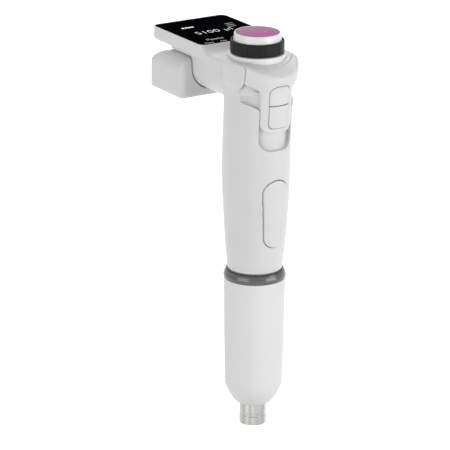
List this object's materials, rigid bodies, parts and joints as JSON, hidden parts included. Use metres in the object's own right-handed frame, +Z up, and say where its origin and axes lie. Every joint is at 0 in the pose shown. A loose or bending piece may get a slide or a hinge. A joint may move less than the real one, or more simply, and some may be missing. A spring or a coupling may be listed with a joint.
{
  "type": "electronic pipette",
  "caption": "Hand-held electronic pipette with a thumb ejector, two front keys, a dial with a press cap, a flat display and a battery housing behind the grip.",
  "frame": {"origin": "middle of the flat underside of the battery housing, by which the pipette hangs on a stand", "axes": "+Z up along the pipette's own axis towards the dial, -Y the side with the keys, +Y the side with the display and battery, +X to the right of someone who faces the keys"},
  "size_m": [0.055, 0.1092, 0.25],
  "materials": {
    "white_shell": "satin",
    "white_trim": "semi-gloss",
    "dark_ring": "satin",
    "collar_grey": "gloss",
    "black_glass": "gloss",
    "pink_insert": "gloss",
    "nozzle_steel": "polished",
    "rod_steel": "ground",
    "brass": "machined",
    "grey_plastic": "matt",
    "aluminium": "machined",
    "board_green": "lacquered laminate",
    "seal_rubber": "matt",
    "battery_wrap": "film wrap"
  },
  "bodies": {
    "handle": {"handle_shell": "white_shell", "top_cover": "white_shell", "display_glass": "black_glass", "display_panel": "grey_plastic", "display_board": "board_green", "battery_housing": "white_shell", "battery_cell": "battery_wrap", "base_plate": "aluminium", "rod_guide": "brass", "guide_rod_front": "rod_steel", "guide_rod_back": "rod_steel", "motor_plate": "aluminium", "motor": "aluminium", "main_board": "board_green", "cylinder": "white_trim", "nozzle": "nozzle_steel", "collar_ring": "collar_grey", "dial_base": "white_trim", "dial_board": "board_green", "confirm_switch": "grey_plastic", "ejector_spring_left": "rod_steel", "ejector_spring_right": "rod_steel"},
    "ejector": {"ejector_slider": "white_shell", "ejector_yoke": "grey_plastic", "ejector_rod_left": "rod_steel", "ejector_rod_right": "rod_steel", "ejector_sleeve": "white_shell"},
    "upper_key": {"key_up": "white_shell"},
    "lower_key": {"key_down": "white_shell"},
    "dial": {"dial_ring": "dark_ring"},
    "press_cap": {"dial_cap": "white_trim", "cap_insert": "pink_insert"},
    "carriage": {"piston": "grey_plastic", "piston_seal": "seal_rubber", "drive_nut": "brass"},
    "screw": {"lead_screw": "rod_steel"},
    "release": {"release_button": "white_shell"}
  },
  "joints": [
    {"name": "ejector_slide", "type": "slide", "parent": "handle", "child": "ejector", "axis": [0, 0, -1], "range_m": [0, 0.0112], "stiffness_N_per_m": 400, "springref_m": -0.004, "deforming": ["ejector_spring_left", "ejector_spring_right"]},
    {"name": "key_up_press", "type": "slide", "parent": "ejector", "child": "upper_key", "axis": [0, 1, 0], "range_m": [0, 0.0005], "stiffness_N_per_m": 500, "springref_m": -0.0005},
    {"name": "key_down_press", "type": "slide", "parent": "ejector", "child": "lower_key", "axis": [0, 1, 0], "range_m": [0, 0.0005], "stiffness_N_per_m": 500, "springref_m": -0.0005},
    {"name": "dial_turn", "type": "hinge", "parent": "handle", "child": "dial", "pos_m": [0, -0.0614, 0.0408], "axis": [0, 0, 1], "continuous": true},
    {"name": "confirm_press", "type": "slide", "parent": "handle", "child": "press_cap", "axis": [0, 0, -1], "range_m": [0, 0.0008], "stiffness_N_per_m": 600, "springref_m": -0.0008},
    {"name": "piston_drive", "type": "slide", "parent": "handle", "child": "carriage", "axis": [0, 0, 1], "range_m": [0, 0.036]},
    {"name": "lead_screw_turn", "type": "hinge", "parent": "handle", "child": "screw", "pos_m": [0, -0.0614, -0.059], "axis": [0, 0, 1], "range_deg": [-2160, 0]},
    {"name": "release_press", "type": "slide", "parent": "handle", "child": "release", "axis": [0, 1, 0], "range_m": [0, 0.002], "stiffness_N_per_m": 400, "springref_m": -0.001}
  ],
  "couplings": [
    {"joint": "lead_screw_turn", "follows": "piston_drive", "rad_per_m": -1047.2}
  ]
}
